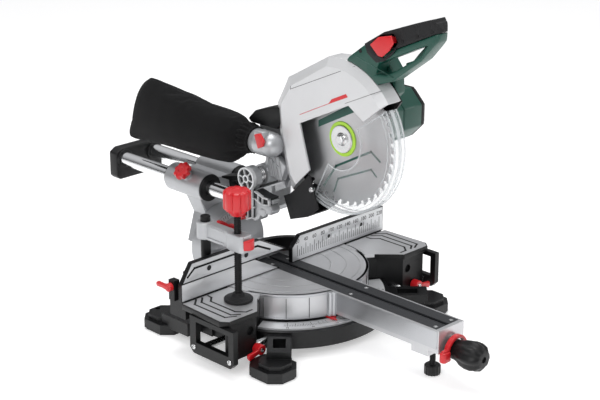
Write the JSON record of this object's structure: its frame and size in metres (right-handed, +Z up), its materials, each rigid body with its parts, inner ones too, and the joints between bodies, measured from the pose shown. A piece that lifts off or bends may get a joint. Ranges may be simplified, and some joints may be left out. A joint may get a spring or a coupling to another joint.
{
  "type": "sliding compound mitre saw",
  "caption": "Sliding compound mitre saw on a four-footed base, with turntable, fence, clamp, swinging guard, rails and dust bag, for crosscut, mitre and bevel cuts.",
  "frame": {"origin": "bench level, on the axis that the turntable turns about, in the middle of the four bench screws", "axes": "+X to the operator's right, +Y away from the operator, +Z up"},
  "size_m": [0.4835, 0.819, 0.553],
  "materials": {
    "black_casting": "satin",
    "black_plastic": "matte",
    "pad_rubber": "matte",
    "cast_aluminium": "satin",
    "table_aluminium": "satin",
    "scale_plate": "satin",
    "steel": "satin",
    "rail_chrome": "gloss",
    "red_plastic": "satin",
    "green_plastic": "matte",
    "grip_rubber": "matte",
    "guard_metal": "satin",
    "blade_steel": "satin",
    "clear_plastic": "gloss",
    "bag_cloth": "matte"
  },
  "bodies": {
    "base": {"base_frame": "black_casting", "foot_pads": "pad_rubber", "table_plate_left": "table_aluminium", "table_plate_right": "table_aluminium", "table_housing_left": "black_plastic", "table_housing_right": "black_plastic", "mitre_scale": "scale_plate", "fence_left": "table_aluminium", "fence_right": "table_aluminium", "fence_bridge": "black_casting", "fence_guide": "black_plastic", "fence_bolts": "steel"},
    "left_extension": {"extension_frame_left": "black_plastic", "extension_rods_left": "steel"},
    "right_extension": {"extension_frame_right": "black_plastic", "extension_rods_right": "steel"},
    "left_extension_lock": {"extension_lock_left": "red_plastic"},
    "right_extension_lock": {"extension_lock_right": "red_plastic"},
    "upper_fence": {"fence_slider": "table_aluminium"},
    "upper_fence_lock": {"fence_lock": "red_plastic"},
    "table": {"turntable": "cast_aluminium", "bevel_pedestal": "cast_aluminium", "insert_plates": "steel", "mitre_pointer": "red_plastic", "pivot_bolt": "steel", "bevel_bolt": "steel"},
    "arm_grip": {"mitre_grip": "black_plastic"},
    "arm_latch": {"mitre_latch": "red_plastic"},
    "arm_foot_screw": {"arm_foot": "black_plastic"},
    "bevel_clamp_lever": {"bevel_lever": "red_plastic"},
    "bevel_head": {"bevel_arm": "cast_aluminium", "rail_seals": "black_plastic"},
    "slide_lock": {"slide_knob": "red_plastic"},
    "carriage": {"rails": "rail_chrome", "rear_cap": "black_plastic", "head_bracket": "cast_aluminium", "head_pin": "steel", "rib_disc": "black_plastic"},
    "head_lock_pin": {"lock_pin": "red_plastic"},
    "head": {"upper_guard": "guard_metal", "guard_inner": "black_plastic", "chip_deflector": "black_plastic", "head_casting": "cast_aluminium", "motor_housing": "green_plastic", "motor_cap": "black_plastic", "handle_shell": "green_plastic", "grip_rubber": "grip_rubber", "chip_port": "cast_aluminium", "return_spring": "steel", "dust_bag": "bag_cloth"},
    "switch": {"trigger": "red_plastic"},
    "battery_pack": {"battery": "black_plastic"},
    "saw_blade": {"blade": "blade_steel", "arbor": "steel"},
    "swing_guard": {"lower_guard": "clear_plastic"},
    "clamp": {"clamp_post": "steel", "clamp_arm": "cast_aluminium"},
    "clamp_foot": {"clamp_pad": "black_plastic"},
    "clamp_spindle": {"clamp_screw": "red_plastic"},
    "clamp_release": {"clamp_button": "red_plastic"}
  },
  "joints": [
    {"name": "left_extension_slide", "type": "slide", "parent": "base", "child": "left_extension", "axis": [-1, 0, 0], "range_m": [0, 0.15]},
    {"name": "right_extension_slide", "type": "slide", "parent": "base", "child": "right_extension", "axis": [1, 0, 0], "range_m": [0, 0.15]},
    {"name": "left_extension_lock_turn", "type": "hinge", "parent": "base", "child": "left_extension_lock", "pos_m": [-0.172, -0.104, 0.029], "axis": [0, 1, 0], "range_deg": [0, 110]},
    {"name": "right_extension_lock_turn", "type": "hinge", "parent": "base", "child": "right_extension_lock", "pos_m": [0.196, -0.104, 0.029], "axis": [0, 1, 0], "range_deg": [-60, 20]},
    {"name": "upper_fence_slide", "type": "slide", "parent": "base", "child": "upper_fence", "axis": [-1, 0, 0], "range_m": [0, 0.1]},
    {"name": "upper_fence_lock_turn", "type": "hinge", "parent": "base", "child": "upper_fence_lock", "pos_m": [-0.24, 0.019, 0.114], "axis": [1, 0, 0], "range_deg": [0, 80]},
    {"name": "mitre", "type": "hinge", "parent": "base", "child": "table", "pos_m": [0, 0, 0.048], "axis": [0, 0, 1], "range_deg": [-47, 47]},
    {"name": "arm_grip_turn", "type": "hinge", "parent": "table", "child": "arm_grip", "pos_m": [0, -0.351, 0.055], "axis": [0, 1, 0], "range_deg": [0, 90]},
    {"name": "arm_latch_lift", "type": "hinge", "parent": "table", "child": "arm_latch", "pos_m": [0, -0.352, 0.068], "axis": [-1, 0, 0], "range_deg": [0, 7], "stiffness_Nm_per_rad": 0.6, "springref_deg": -17.19},
    {"name": "arm_foot_height", "type": "slide", "parent": "table", "child": "arm_foot_screw", "axis": [0, 0, 1], "range_m": [0, 0.008]},
    {"name": "bevel_clamp_turn", "type": "hinge", "parent": "table", "child": "bevel_clamp_lever", "pos_m": [-0.014, 0.124, 0.124], "axis": [0, 1, 0], "range_deg": [-35, 20]},
    {"name": "bevel", "type": "hinge", "parent": "table", "child": "bevel_head", "pos_m": [0, 0.179, 0.09], "axis": [0, 1, 0], "range_deg": [-30, 2]},
    {"name": "slide_lock_turn", "type": "hinge", "parent": "bevel_head", "child": "slide_lock", "pos_m": [-0.034, 0.192, 0.194], "axis": [-0.7071, 0, 0.7071], "range_deg": [-180, 0]},
    {"name": "rail_slide", "type": "slide", "parent": "bevel_head", "child": "carriage", "axis": [0, -1, 0], "range_m": [-0.09, 0.13]},
    {"name": "head_lock_pull", "type": "slide", "parent": "carriage", "child": "head_lock_pin", "axis": [-1, 0, 0], "range_m": [0, 0.012]},
    {"name": "head_swing", "type": "hinge", "parent": "carriage", "child": "head", "pos_m": [0, 0.04, 0.243], "axis": [1, 0, 0], "range_deg": [0, 45], "stiffness_Nm_per_rad": 8, "springref_deg": -126.05},
    {"name": "switch_press", "type": "slide", "parent": "head", "child": "switch", "axis": [1, 0, 0], "range_m": [0, 0.004], "stiffness_N_per_m": 400, "springref_m": -0.006},
    {"name": "battery_slide", "type": "slide", "parent": "head", "child": "battery_pack", "axis": [0, 1, 0], "range_m": [0, 0.08]},
    {"name": "blade_spin", "type": "hinge", "parent": "head", "child": "saw_blade", "pos_m": [0, -0.122, 0.334], "axis": [1, 0, 0], "continuous": true},
    {"name": "swing_guard_turn", "type": "hinge", "parent": "head", "child": "swing_guard", "pos_m": [0, -0.122, 0.334], "axis": [-1, 0, 0], "range_deg": [0, 113]},
    {"name": "clamp_swivel", "type": "hinge", "parent": "base", "child": "clamp", "pos_m": [-0.161, 0.022, 0.09], "axis": [0, 0, 1], "range_deg": [-30, 30]},
    {"name": "clamp_travel", "type": "slide", "parent": "clamp", "child": "clamp_foot", "axis": [0, 0, 1], "range_m": [0, 0.055]},
    {"name": "clamp_knob_turn", "type": "hinge", "parent": "clamp_foot", "child": "clamp_spindle", "pos_m": [-0.161, -0.053, 0.232], "axis": [0, 0, 1], "continuous": true},
    {"name": "clamp_release_press", "type": "slide", "parent": "clamp", "child": "clamp_release", "axis": [0, 1, 0], "range_m": [0, 0.002], "stiffness_N_per_m": 600, "springref_m": -0.004}
  ],
  "couplings": [
    {"joint": "swing_guard_turn", "follows": "head_swing", "ratio": 2.5}
  ]
}
